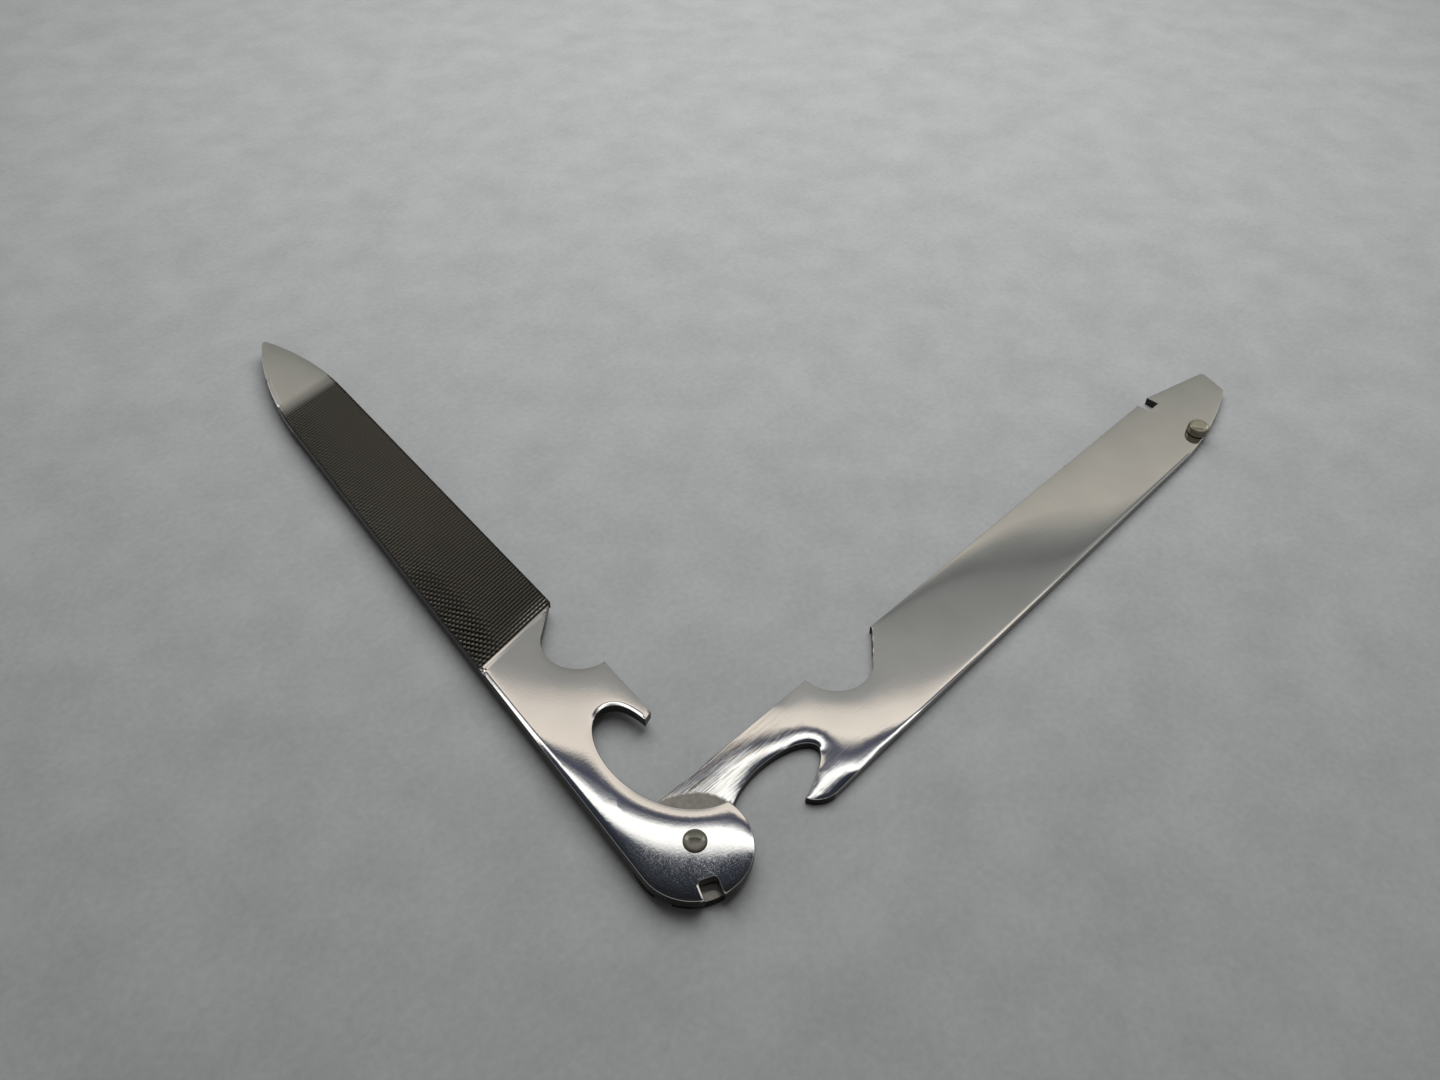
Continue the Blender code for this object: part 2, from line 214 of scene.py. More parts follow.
def file_outline():
    stretches, corner = head(slot_angle=163.5, crown=0.045, bevel=0.2)
    inner = (10.26, -3.0)
    outer = (10.7, -3.8)
    near = (24.7, -3.55)
    far = (62.0, -1.92)
    stretches += crescent(corner, back=(8.4, 1.45), end=(13.05, -1.15),
                          hook=inner, hook_handle=(1.69, 0.25),
                          crowns=(0.045, 0.012, 0.004), bevels=((0, 0), (0, 0.054), (0.054, 0.06)))
    stretches.append(Stretch([inner, outer], ROLL_BLADE, 0.004, (0.06, 0)))

    # The notched edge
    cut = notch((19.9, -3.45), -1)
    slope = (near[1] - outer[1]) / (near[0] - outer[0])
    entry = (cut[0][0], outer[1] + slope * (cut[0][0] - outer[0]))
    leave = (cut[-1][0], outer[1] + slope * (cut[-1][0] - outer[0]))
    stretches += [
        Stretch([outer, entry], ROLL_HEAD, 0.02),
        Stretch([entry, *cut, leave], ROLL_NOTCH, 0.03),
        Stretch([leave, near, far], ROLL_FILE)]

    # The pointed tip
    tip = arc((72.0, 1.25), 0.3, -55, 70, 12)
    shoulder = (57.5, EDGE)
    tip_low = bend(far, off(far, 4.2, 0.3), off(tip[0], -2.2, -1.25), tip[0])
    tip_high = bend(tip[-1], off(tip[-1], -3.0, 1.4), off(shoulder, 6.2, 0), shoulder)
    half = len(tip_high) // 2
    stretches += [
        Stretch(tip_low + tip[1:], ROLL_BLADE, 0.05, wall=0.6),
        Stretch(tip_high[:half + 1], ROLL_BLADE, 0.02, wall=0.6),
        Stretch(tip_high[half:], ROLL_BLADE, 0.02, (0.2, 0.26), 0.6)]

    # The straight edge, back to the head
    tooth_end = (21.6, EDGE)
    neck = (11.0, EDGE)
    stretches += [
        Stretch([shoulder, tooth_end], ROLL_FILE),
        Stretch([tooth_end, neck], ROLL_HEAD, 0.012, (0.088, 0.045)),
        Stretch([neck, (HEAD_CENTRE[0], EDGE)], ROLL_HEAD, 0.045, (0.04, 0))]
    return stretches


def opener_outline():
    stretches, corner = head(slot_angle=199, crown=0.05, bevel=0)
    hook = (8.45, -2.6)
    belly = (10.2, -3.9)
    far = (62.5, -2.9)
    stretches += crescent(corner, back=(8.0, 1.43), end=(12.35, -0.3),
                          hook=hook, hook_handle=(1.7, 0.4),
                          crowns=(0.13, 0.078, 0.1), bevels=((0, 0), (0, 0.01), (0.01, 0)))
    claw = bend(hook, off(hook, 0.1, -0.5), off(belly, -0.9, 0.05), belly)
    stretches.append(Stretch(claw, ROLL_HEAD, 0.16))

    # The long edge on the hook's side
    slope = (far[1] - belly[1]) / (far[0] - belly[0])
    stops = [belly] + [(x, belly[1] + slope * (x - belly[0])) for x in (18.0, 36.0)] + [far]
    stretches += [
        Stretch(stops[0:2], ROLL_BLADE, 0.068, (0.005, 0.04), 0.7),
        Stretch(stops[1:3], ROLL_BLADE, 0.03, (0.045, 0.08), 0.45),
        Stretch(stops[2:4], ROLL_BLADE, 0.025, (0.08, 0.09), 0.4)]

    # The slanted driver end
    top = (75.0, 2.8)
    bottom = (74.1, -0.4)
    taper = (67.4, EDGE)
    slant = math.degrees(math.atan2(top[0] - bottom[0], top[1] - bottom[1]))
    low_centre = off(bottom, -DRIVER_ROUND * math.cos(math.radians(slant)), DRIVER_ROUND)
    low = arc(low_centre, DRIVER_ROUND, -68, -slant, 12)
    high = arc(off(top, -DRIVER_ROUND, -DRIVER_ROUND), DRIVER_ROUND, -slant, 78, 12)
    tip = bend(far, off(far, 4.5, 0.25), off(low[0], -2.6, -1.05), low[0])
    stretches += [
        Stretch(tip + low[1:], ROLL_BLADE, 0.03, (0.06, 0), 0.2),
        Stretch(high + [taper], ROLL_BLADE, 0.03, wall=0.2)]

    # The nick
    depth = EDGE - NICK_DEPTH
    nick = [(NICK_FAR, EDGE), (NICK_FAR, depth), (NICK_NEAR, depth), (NICK_NEAR, EDGE)]
    stretches += [
        Stretch([taper, nick[0]], ROLL_BLADE, 0.03),
        Stretch(nick, ROLL_SLOT)]

    # The notch, with two bevelled dashes on its straight side
    cut = notch((19.4, 4.25), 1)[::-1]
    dashes = [tuple((1 - t) * a + t * b for a, b in zip(*cut[:2])) for t in (0.15, 0.48, 0.6, 0.88)]
    stretches += [
        Stretch([nick[-1], (cut[0][0], EDGE)], ROLL_BLADE, 0.045),
        Stretch([(cut[0][0], EDGE), cut[0], dashes[0]], ROLL_SLOT, 0.03),
        Stretch(dashes[0:2], ROLL_SLOT, 0.03, (0.65, 0.65)),
        Stretch(dashes[1:3], ROLL_SLOT, 0.03),
        Stretch(dashes[2:4], ROLL_SLOT, 0.03, (0.65, 0.65)),
        Stretch([dashes[3], *cut[1:], (cut[-1][0], EDGE)], ROLL_NOTCH, 0.03, wall=0.5)]

    # The straight edge, back to the head
    neck = (13.0, EDGE)
    stretches += [
        Stretch([(cut[-1][0], EDGE), neck], ROLL_HEAD, 0.03),
        Stretch([neck, (HEAD_CENTRE[0], EDGE)], ROLL_HEAD)]
    return stretches


def rim_of(stretches):
    """The closed outline of some stretches, with the crowns evened out along it."""
    points = []
    marks = []
    for stretch in stretches:
        pairs = list(zip(stretch.points, stretch.points[1:]))
        whole = sum(math.dist(a, b) for a, b in pairs)
        step = FILE_STEP if stretch.roll == ROLL_FILE else RIM_STEP
        crown = math.nan if stretch.crown is None else stretch.crown
        first, last = stretch.bevel
        gone = 0
        for a, b in pairs:
            length = math.dist(a, b)
            if length < 1e-6:
                continue
            count = math.ceil(length / step)
            for part in range(count):
                t = part / count
                points.append((a[0] + (b[0] - a[0]) * t, a[1] + (b[1] - a[1]) * t))
                lean = first + (last - first) * (gone + t * length) / whole
                marks.append((stretch.roll, crown, lean, stretch.wall))
            gone += length
    points = np.array(points)
    rolls, crowns, bevels, walls = np.array(marks).T
    lengths = np.linalg.norm(np.roll(points, -1, 0) - points, axis=1)
    along = np.cumsum(lengths) - lengths
    around = lengths.sum()
    even = crowns.copy()
    for i in np.flatnonzero(np.isfinite(crowns)):
        gap = np.abs(along - along[i])
        near = np.minimum(gap, around - gap) < CROWN_BLEND
        even[i] = np.nanmean(crowns[near])
    return Rim(points, rolls, even, bevels, walls)


# Measures of points and loops

def edge_normals(loop):
    """Inward normals of a counter-clockwise loop's edges."""
    edges = np.roll(loop, -1, 0) - loop
    edges /= np.linalg.norm(edges, axis=1)[:, None]
    return np.stack([-edges[:, 1], edges[:, 0]], 1)


def point_normals(loop):
    """Inward normals at a loop's points, from the edges on both sides."""
    edges = edge_normals(loop)
    normals = edges + np.roll(edges, 1, 0)
    return normals / np.maximum(np.linalg.norm(normals, axis=1), 1e-6)[:, None]


def nearest(points, starts, ends):
    """Distance to the nearest of some segments, the direction away from it and its number."""
    best = np.full(len(points), 1e9)
    away = np.zeros((len(points), 2))
    number = np.zeros(len(points), int)
    segments = ends - starts
    square = (segments ** 2).sum(1)
    batch = 2000
    for first in range(0, len(points), batch):
        some = points[first:first + batch, None, :]
        share = np.clip(((some - starts) * segments).sum(2) / square, 0, 1)
        gap = some - (starts + share[..., None] * segments)
        distance = np.hypot(gap[..., 0], gap[..., 1])
        closest = distance.argmin(1)
        row = np.arange(len(closest))
        best[first:first + batch] = distance[row, closest]
        away[first:first + batch] = gap[row, closest]
        number[first:first + batch] = closest
    return best, away / np.maximum(best, 1e-9)[:, None], number


def nearest_edge(points, loop):
    """As nearest, for the edges of a closed loop."""
    return nearest(points, loop, np.roll(loop, -1, 0))


def inset_of(points, loop):
    """Distance to a closed loop."""
    return nearest_edge(points, loop)[0]


def fade(value, none, full, least=0):
    """A share that rises to 1 between two values, and never falls under the least."""
    return np.clip((value - none) / (full - none), least, 1)


def inside(points, loop):
    """Which points a closed loop holds."""
    held = np.zeros(len(points), bool)
    for a, b in zip(loop, np.roll(loop, -1, 0)):
        crosses = (a[1] > points[:, 1]) != (b[1] > points[:, 1])
        if abs(b[1] - a[1]) > 1e-12:
            reach = a[0] + (points[:, 1] - a[1]) * (b[0] - a[0]) / (b[1] - a[1])
            held ^= crosses & (points[:, 0] < reach)
    return held


# Teeth

def tooth_place(points):
    """How far along the teeth a point is, in rows."""
    reach = (points[:, 0] - TOOTH_START) * math.cos(TOOTH_LEAN) + points[:, 1] * math.sin(TOOTH_LEAN)
    return reach / TOOTH_PITCH


def wave(row, land):
    """0 on a land, 1 in a valley."""
    part = np.maximum(row - np.floor(row) - land, 0) / (1 - land)
    return 1 - np.abs(2 * part - 1)


def tooth_rows():
    """Points on the lands and valleys of the file's first cut, and on its lip."""
    rows = []
    normal = np.array([math.cos(TOOTH_LEAN), math.sin(TOOTH_LEAN)])
    along = np.array([-normal[1], normal[0]])
    steps = np.arange(-ROW_HALF, ROW_HALF, ROW_STEP)
    ridges = (0, TOOTH_LAND, 0.5 + TOOTH_LAND / 2)
    for line in range(3 * (TOOTH_ROWS + TOOTH_FADE) + 1):
        reach = (line // 3 + ridges[line % 3]) * TOOTH_PITCH
        start = np.array([TOOTH_START + reach / normal[0], 0])
        rows.append(start + (steps + line % 2 * ROW_STEP / 2)[:, None] * along)
    for reach, _ in LIP[1:]:
        start = np.array([TOOTH_START - reach / normal[0], 0])
        rows.append(start + steps[:, None] * along)
    return np.concatenate(rows)


def tooth_points(extra, loop):
    """Fill points with those on the teeth replaced by the tooth rows' own."""
    row = tooth_place(extra)
    calm = (row < -2.2) | (row > TOOTH_ROWS + TOOTH_FADE + 0.4) | (inset_of(extra, loop) < ROLL_FILE + 0.01)
    cuts = tooth_rows()
    cuts = cuts[inside(cuts, loop)]
    return np.concatenate([extra[calm], cuts[inset_of(cuts, loop) > ROLL_FILE + 0.06]])


def tooth_cut(flat, loop):
    """Depth of the teeth at some points, and marks: 1 on the teeth, 0.5 on their lip."""
    inset = inset_of(flat, loop)
    row = tooth_place(flat)
    valley = wave(row, TOOTH_LAND)
    cross = (flat[:, 0] * math.cos(CROSS_LEAN) + flat[:, 1] * math.sin(CROSS_LEAN)) / CROSS_PITCH
    # The second cut is deepest towards the straight edge and in the first rows, and ends before the last
    crossed = fade(flat[:, 1], 1.6, 3.2, least=0.12)
    crossed *= fade(row, TOOTH_ROWS - 3, TOOTH_ROWS - 9)
    crossed *= fade(row, 0.3, 0.9)
    crossed *= fade(row, 50, 20, least=0.3)
    cut = TOOTH_DEPTH * valley + CROSS_DEPTH * crossed * wave(cross, 0) * (1 - valley)
    # Towards the rim the cuts fade to a quarter of their depth
    cut *= 0.25 + 0.75 * fade(inset, 0.03, 0.25)
    depth = np.where((row > -0.01) & (row < TOOTH_ROWS + 0.01), cut, 0)
    lip = np.interp(-row * TOOTH_PITCH, *zip(*LIP)) * fade(inset, 0, 0.3)
    depth -= np.where(row < 0.01, lip, 0)
    toothed = np.where((row > -0.01) & (row < TOOTH_ROWS + TOOTH_FADE + 0.01), 1.0, 0.0)
    toothed[(row < -0.02) & (row > -LIP[-1][0] / TOOTH_PITCH)] = 0.5
    return depth, toothed


# Faces of a blade

def triangulate(loop, holes, extra):
    """A triangle mesh of the outline less its holes, through the extra points. Loop points come first."""
    rings = [loop, *holes]
    edges = []
    start = 0
    for ring in rings:
        count = len(ring)
        edges += [(start + i, start + (i + 1) % count) for i in range(count)]
        start += count
    points = np.concatenate(rings + [extra])
    out = delaunay_2d_cdt([Vector(p) for p in points], edges, [], 0, 1e-6, True)
    place = np.full(len(points), -1)
    for new, old in enumerate(out[3]):
        for index in old:
            place[index] = new
    flat = np.array([(v.x, v.y) for v in out[0]])
    left_of = {}
    for number, (a, b, c) in enumerate(out[2]):
        left_of[a, b] = left_of[b, c] = left_of[c, a] = number
    rim = {(place[a], place[b]) for a, b in edges}
    kept = set()
    waiting = [left_of[edge] for edge in rim]
    while waiting:
        number = waiting.pop()
        if number not in kept:
            kept.add(number)
            a, b, c = out[2][number]
            waiting += [left_of[j, i] for i, j in ((a, b), (b, c), (c, a)) if (i, j) not in rim]
    faces = np.array([out[2][number] for number in sorted(kept)])
    return flat, faces, place[:start]


def crown_of(flat, faces, fixed, drops, reach):
    """A smooth field with the given drops at the fixed rim points that fades inwards, and its gradient."""
    a, b, c = (flat[faces[:, k]] for k in range(3))
    edges = np.stack([c - b, a - c, b - a], 1)
    double = edges[:, 0, 0] * edges[:, 1, 1] - edges[:, 0, 1] * edges[:, 1, 0]
    grad = np.stack([-edges[..., 1], edges[..., 0]], 2) / double[:, None, None]
    size = len(flat)
    mass = np.bincount(faces.ravel(), np.repeat(double / 6, 3), size)
    local = (grad[:, :, None, :] * grad[:, None, :, :]).sum(3) * (double / 2)[:, None, None]
    here = np.interp(flat[faces][:, :, 0].mean(1), *zip(*reach))
    local *= (here ** 2)[:, None, None]
    rows = np.repeat(faces, 3, 1).ravel()
    cols = np.tile(faces, (1, 3)).ravel()
    values = local.reshape(len(faces), 9).ravel()
    free = np.ones(size, bool)
    free[fixed] = False

    def apply(v):
        return np.bincount(rows, values * v[cols], size) + mass * v

    # Conjugate gradients over the free points
    field = np.zeros(size)
    field[fixed] = drops
    diagonal = np.bincount(rows, values * (rows == cols), size) + mass
    residual = np.where(free, -apply(field), 0)
    ready = residual / diagonal
    step = ready.copy()
    power = residual @ ready
    for _ in range(400):
        pushed = np.where(free, apply(step), 0)
        move = power / max(step @ pushed, 1e-30)
        field += move * step
        residual -= move * pushed
        ready = residual / diagonal
        fresh = residual @ ready
        if fresh < 1e-14:
            break
        step = ready + fresh / power * step
        power = fresh
    slope = (grad * field[faces][:, :, None]).sum(1)
    total = np.bincount(faces.ravel(), np.repeat(double, 3), size)
    mean = [np.bincount(faces.ravel(), np.repeat(double * slope[:, k], 3), size) / total for k in (0, 1)]
    return field, np.stack(mean, 1)


def fill_points(rim, width):
    """Points just inside the rim, in rings that follow it, and a sparse grid between them."""
    loop = rim.points
    edges = edge_normals(loop)
    before = np.roll(edges, 1, 0)
    mitres = (edges + before) / np.maximum(1 + (edges * before).sum(1), 0.3)[:, None]
    roll = np.minimum(rim.rolls, np.roll(rim.rolls, 1))
    rings = []
    for angle in ROLL_RINGS:
        depth = roll * (1 - math.sin(math.radians(angle)))
        rings.append((loop + mitres * depth[:, None], depth))
    tight = roll == ROLL_SLOT
    for depth in (SLOT_BEVEL - 2 * SLOT_BLEND, SLOT_BEVEL, SLOT_BEVEL + 2 * SLOT_BLEND):
        rings.append((loop[tight] + mitres[tight] * depth, np.full(tight.sum(), depth)))
    for depth in (width * 0.6, *(width + BEVEL_BLEND * k for k in BEVEL_RINGS), *DEEP_RINGS):
        sparse = slice(0, None, 2 if depth > 0.6 else 1)
        rings.append((loop[sparse] + mitres[sparse] * depth, np.full(len(loop[sparse]), depth)))
    kept = []
    for points, depth in rings:
        clear = inset_of(points, loop) > 0.96 * depth
        kept.append(points[inside(points, loop) & clear & (depth > 0.004)])
    low, high = loop.min(0), loop.max(0)
    xs = np.arange(low[0], high[0], GRID_STEP[0])
    ys = np.arange(low[1], high[1], GRID_STEP[1])
    grid = np.stack(np.meshgrid(xs, ys), 2)
    grid[1::2, :, 0] += GRID_STEP[0] / 2
    grid = grid.reshape(-1, 2)
    grid = grid[inside(grid, loop)]
    kept.append(grid[inset_of(grid, loop) > GRID_MARGIN])
    return np.concatenate(kept)


def rolled(flat, rim, share):
    """How far the rolled rims fall below the flat at some points, and their slope."""
    ends = np.roll(rim.points, -1, 0)
    drop = np.zeros(len(flat))
    lean = np.zeros((len(flat), 2))
    for roll in np.unique(rim.rolls):
        radius = roll * share
        chosen = rim.rolls == roll
        inset, away, _ = nearest(flat, rim.points[chosen], ends[chosen])
        over = np.maximum(radius - inset, 0)
        rise = np.sqrt(np.maximum(radius ** 2 - over ** 2, 0))
        fall = np.where(over > 0, radius - rise, 0)
        steep = over / np.maximum(rise, radius * 0.02)
        lower = fall > drop
        drop[lower] = fall[lower]
        lean[lower] = (away * steep[:, None])[lower]
    return drop, lean


def bevelled(flat, rim, width):
    """How far the bevels inside the rims fall at some points, and their slope."""
    inset, away, number = nearest_edge(flat, rim.points)
    slant = rim.bevels[number]
    slot = rim.rolls[number] == ROLL_SLOT
    wide = np.where(slot, SLOT_BEVEL, width)
    blend = np.where(slot, SLOT_BLEND, BEVEL_BLEND)
    soft = np.clip((wide - inset) / blend, -40, 40)
    left = np.maximum(wide - inset, 0)
    drop = slant * (blend * np.log1p(np.exp(soft)) + BEVEL_GROWTH * left ** 2 / wide / 2)
    slope = slant * (1 + BEVEL_GROWTH * left / wide) / (1 + np.exp(-soft))
    return drop, away * slope[:, None]


def skin(rim, width, reach, holes, extra, roll_share, teeth):
    """One face of a blade. Without a reach it stays flat inside its rolled rims."""
    flat, faces, place = triangulate(rim.points, holes, extra)
    outer = place[:len(rim.points)]
    drop, lean = rolled(flat, rim, roll_share)
    lean[outer] = point_normals(rim.points) * RIM_STEEPNESS
    if reach is not None:
        fall, slope = bevelled(flat, rim, width)
        slope[outer] = 0
        drop += fall
        lean += slope
        crowned = np.isfinite(rim.crowns)
        field, climb = crown_of(flat, faces, outer[crowned], rim.crowns[crowned], reach)
        drop += field
        lean -= climb
    toothed = np.zeros(len(flat))
    if teeth:
        depth, toothed = tooth_cut(flat, rim.points)
        drop += depth
    return Skin(flat, faces, drop, lean, place, toothed)


def skin_shading(top, under, corners):
    """Both faces' triangles, their facet normals and their corner normals."""
    count = len(top.flat)
    skins = np.concatenate([top.faces, under.faces[:, ::-1] + count])
    a, b, c = (corners[skins[:, k]] for k in range(3))
    facets = np.cross(b - a, c - a)
    facets /= np.linalg.norm(facets, axis=1)[:, None]
    up = np.column_stack([-top.lean, np.ones(count)])
    down = np.column_stack([-under.lean, -np.ones(len(under.flat))])
    normals = np.concatenate([up, down])
    normals /= np.linalg.norm(normals, axis=1)[:, None]
    shades = normals[skins]
    # Teeth, and flat triangles that meet a steep rim, are shaded flat
    sharp = (np.abs(facets[:, None, 2]) > 0.85) & (np.abs(shades[:, :, 2]) < 0.5)
    sharp[:len(top.faces)] |= (top.toothed[top.faces].min(1) > 0.2)[:, None]
    shades[sharp] = np.repeat(facets, 3, 0).reshape(-1, 3, 3)[sharp]
    return skins, facets, shades


def wall_faces(top, under, rings):
    """The walls between both faces' rims, and their corner normals."""
    faces = []
    shades = []
    count = len(top.flat)
    start = 0
    for ring in rings:
        size = len(ring)
        inward = edge_normals(ring)
        smooth = point_normals(ring)
        turn = (inward * np.roll(inward, 1, 0)).sum(1) < math.cos(math.radians(32))
        for i in range(size):
            j = (i + 1) % size
            top_pair = (top.place[start + i], top.place[start + j])
            under_pair = (under.place[start + i] + count, under.place[start + j] + count)
            faces.append((top_pair[0], *under_pair, top_pair[1]))
            first = -(inward[i] if turn[i] else smooth[i])
            last = -(inward[i] if turn[j] else smooth[j])
            shades += [(*first, 0), (*first, 0), (*last, 0), (*last, 0)]
        start += size
    return faces, shades


def face_marks(top, skins, facets, corners, rim, count, teeth):
    """For each of a blade's faces, how far it is cut teeth and how far it is darkened as wall: duller
    sheared steel and painted shade.
    """
    marks = np.zeros((2, count), np.float32)
    cut, wall = marks
    tops = len(top.faces)
    sides = len(skins)
    centres = top.flat[top.faces].mean(1)
    if teeth:
        rows = tooth_place(centres)
        cut[:tops] = top.toothed[top.faces].min(1) > 0.8
        cut[:tops] *= fade(rows, TOOTH_ROWS + TOOTH_FADE, TOOTH_ROWS - TOOTH_FADE)
        # The lands of the first rows are rubbed bright, most of all towards the notched edge
        polish = fade(rows, 4.5, 1.5) * fade(centres[:, 1], 1.5, -1.5, least=0.2)
        cut[:tops] *= 1 - 0.75 * polish * (wave(rows, TOOTH_LAND) < 0.3)
    # Steep faces on the rolled rims take their stretch's wall darkness, partly painted shade
    steep = (np.abs(facets[:, 2]) < 0.8) & (cut[:sides] == 0)
    _, _, number = nearest_edge(corners[skins[steep]].mean(1)[:, :2], rim.points)
    wall[:sides][steep] = rim.walls[number]
    if teeth:
        # Rim faces beside the teeth are darkened too, as painted shade that dulls the rim's reflection
        wall[:tops][(cut[:tops] > 0) & (inset_of(centres, rim.points) < 0.15)] = 0.8
    wall[sides:] = 1
    wall[sides:sides + len(rim.points)] = rim.walls
    return marks


# Meshes and pieces

def place_piece(name, body, node, mesh, surface):
    """A mesh as a piece that rides on a body and stands for a node of the solids."""
    mesh.materials.append(surface)
    piece = bpy.data.objects.new(name, mesh)
    bpy.context.scene.collection.objects.link(piece)
    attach(piece, body)
    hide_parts(node)


def blade_mesh(name, stretches, reach, width, holes, frame_matrix, base, teeth):
    """A closed blade: top skin, bottom skin and the walls between them."""
    rim = rim_of(stretches)
    rings = [np.array(arc(centre, radius, 360, 0, 12)[:-1]) for centre, radius, _ in holes]
    mouths = [np.array(arc(centre, mouth, 360, 0, 12)[:-1]) for centre, _, mouth in holes]
    extra = fill_points(rim, width)
    for centre, _, mouth in holes:
        extra = extra[np.hypot(*(extra - centre).T) > mouth + HOLE_MARGIN]
    full = tooth_points(extra, rim.points) if teeth else extra
    top = skin(rim, width, reach, rings, full, 1.0, teeth)
    under = skin(rim, width, None, mouths, extra, UNDER_ROLL_SHARE, False)

    corners = np.concatenate([np.column_stack([top.flat, base + THICKNESS - top.drop]),
                              np.column_stack([under.flat, base + under.drop])])
    skins, facets, shades = skin_shading(top, under, corners)
    walls, wall_shades = wall_faces(top, under, [rim.points, *rings])
    faces = [tuple(f) for f in skins] + walls
    loops = list(shades.reshape(-1, 3)) + wall_shades

    mesh = bpy.data.meshes.new(name)
    spin = frame_matrix.to_3x3()
    mesh.from_pydata([frame_matrix @ (Vector(c) * MM) for c in corners], [], faces)
    mesh.normals_split_custom_set([spin @ Vector(n) for n in loops])
    marks = face_marks(top, skins, facets, corners, rim, len(faces), teeth)
    for label, mark in zip(("teeth", "wall"), marks):
        mesh.attributes.new(label, "FLOAT", "FACE").data.foreach_set("value", mark)
    return mesh


def pin_mesh(name, profile, place):
    """A pin turned from a half section given from the top down: radius and height."""
    corners = [(*place, profile[0][1])]
    for radius, height in profile[1:-1]:
        for step in range(PIN_SIDES):
            angle = 2 * math.pi * step / PIN_SIDES
            corners.append((*off(place, radius * math.cos(angle), radius * math.sin(angle)), height))
    corners.append((*place, profile[-1][1]))
    rows = len(profile) - 2
    last = 1 + (rows - 1) * PIN_SIDES
    faces = []
    for step in range(PIN_SIDES):
        after = (step + 1) % PIN_SIDES
        faces.append((0, 1 + step, 1 + after))
        for row in range(rows - 1):
            a = 1 + row * PIN_SIDES
            b = a + PIN_SIDES
            faces.append((a + step, b + step, b + after, a + after))
        faces.append((last + step, len(corners) - 1, last + after))
    mesh = bpy.data.meshes.new(name)
    mesh.from_pydata([PLACE @ (Vector(c) * MM) for c in corners], [], faces)
    mesh.shade_smooth()
    mesh.set_sharp_from_angle(angle=math.radians(35))
    return mesh


def dome(radius, height, base, power, steps=16):
    """A rounded pin head's half section from its top to its rim; a higher power is flatter on top."""
    points = []
    for step in range(steps + 1):
        angle = math.pi / 2 * step / steps
        out = math.sin(angle) ** (2 / power)
        up = math.cos(angle) ** (2 / power)
        points.append((radius * out, base + height * up))
    return points


# Shader nodes

def add(tree, kind, inputs=None, **settings):
    """A shader node with its settings, values and links."""
    made = tree.nodes.new(kind)
    for key, value in settings.items():
        setattr(made, key, value)
    for key, value in (inputs or {}).items():
        if isinstance(value, bpy.types.NodeSocket):
            tree.links.new(value, made.inputs[key])
        else:
            made.inputs[key].default_value = value
    return made


def ramp(tree, factor, stops):
    """A colour for a factor, from places and colours."""
    made = add(tree, "ShaderNodeValToRGB", {"Fac": factor})
    band = made.color_ramp
    while len(band.elements) < len(stops):
        band.elements.new(0.5)
    for element, (place, colour) in zip(band.elements, stops):
        element.position = place
        element.color = (*colour, 1)
    return made.outputs["Color"]


def fit(tree, value, low, high, to_low, to_high, smooth=False):
    """A value taken from one range to another."""
    made = add(tree, "ShaderNodeMapRange", {
        "Value": value, "From Min": low, "From Max": high, "To Min": to_low, "To Max": to_high})
    made.interpolation_type = "SMOOTHSTEP" if smooth else "LINEAR"
    return made.outputs["Result"]


def maths(tree, operation, *values):
    return add(tree, "ShaderNodeMath", dict(enumerate(values)), operation=operation).outputs[0]


def dot(tree, vector, direction):
    made = add(tree, "ShaderNodeVectorMath", {0: vector, 1: direction}, operation="DOT_PRODUCT")
    return made.outputs["Value"]


def scaled(tree, vector, factor):
    return add(tree, "ShaderNodeVectorMath", {0: vector, "Scale": factor}, operation="SCALE").outputs[0]


def axis(tree, vector, name):
    return add(tree, "ShaderNodeSeparateXYZ", {0: vector}).outputs[name]


def mix(tree, factor, a, b):
    """Colour a where the factor is 0 and colour b where it is 1."""
    return add(tree, "ShaderNodeMix", {"Factor": factor, 6: a, 7: b}, data_type="RGBA").outputs[2]


def noise(tree, vector, scale, detail=2.0, roughness=0.5):
    return add(tree, "ShaderNodeTexNoise", {
        "Vector": vector, "Scale": scale, "Detail": detail, "Roughness": roughness}).outputs["Fac"]


def stretched(tree, vector, turn, scale):
    return add(tree, "ShaderNodeMapping", {
        "Vector": vector, "Rotation": (0, 0, math.radians(turn)), "Scale": scale}).outputs[0]


def linear(*colour):
    """A written colour of 0 to 255 as light."""
    out = []
    for value in colour:
        value /= 255
        out.append(value / 12.92 if value <= 0.04045 else ((value + 0.055) / 1.055) ** 2.4)
    return tuple(out)


# Materials of the pieces

def blank_material(name):
    """A new material, its nodes and its shader."""
    made = bpy.data.materials.new(name)
    made.use_nodes = True
    return made, made.node_tree, made.node_tree.nodes["Principled BSDF"]


def blade_coordinates(tree, angle):
    """Blade-frame coordinates in millimetres, from the object's own. Heights count from the joint."""
    where = add(tree, "ShaderNodeTexCoord").outputs["Object"]
    scale = 1 / MM
    back = Matrix.Rotation(-angle, 3, "Z") @ -PIVOT * scale
    return add(tree, "ShaderNodeMapping", {
        "Vector": where, "Location": back,
        "Rotation": (0, 0, -angle), "Scale": (scale, scale, scale)}).outputs[0]


def bumped(tree, shader, height, distance, strength=1.0):
    """A fine relief in the shader's normal; the distance is in metres."""
    bump = add(tree, "ShaderNodeBump", {"Height": height, "Strength": strength, "Distance": distance})
    tree.links.new(bump.outputs[0], shader.inputs["Normal"])


def hair_scratches(tree, place):
    """Two sets of fine scratches across each other."""
    first = noise(tree, stretched(tree, place, 24, (0.3, 9, 1)), 1.0, 2)
    second = noise(tree, stretched(tree, place, -37, (0.4, 11, 1)), 1.0, 2)
    return maths(tree, "ADD", fit(tree, first, 0.66, 0.72, 0, 1), fit(tree, second, 0.68, 0.74, 0, 1))


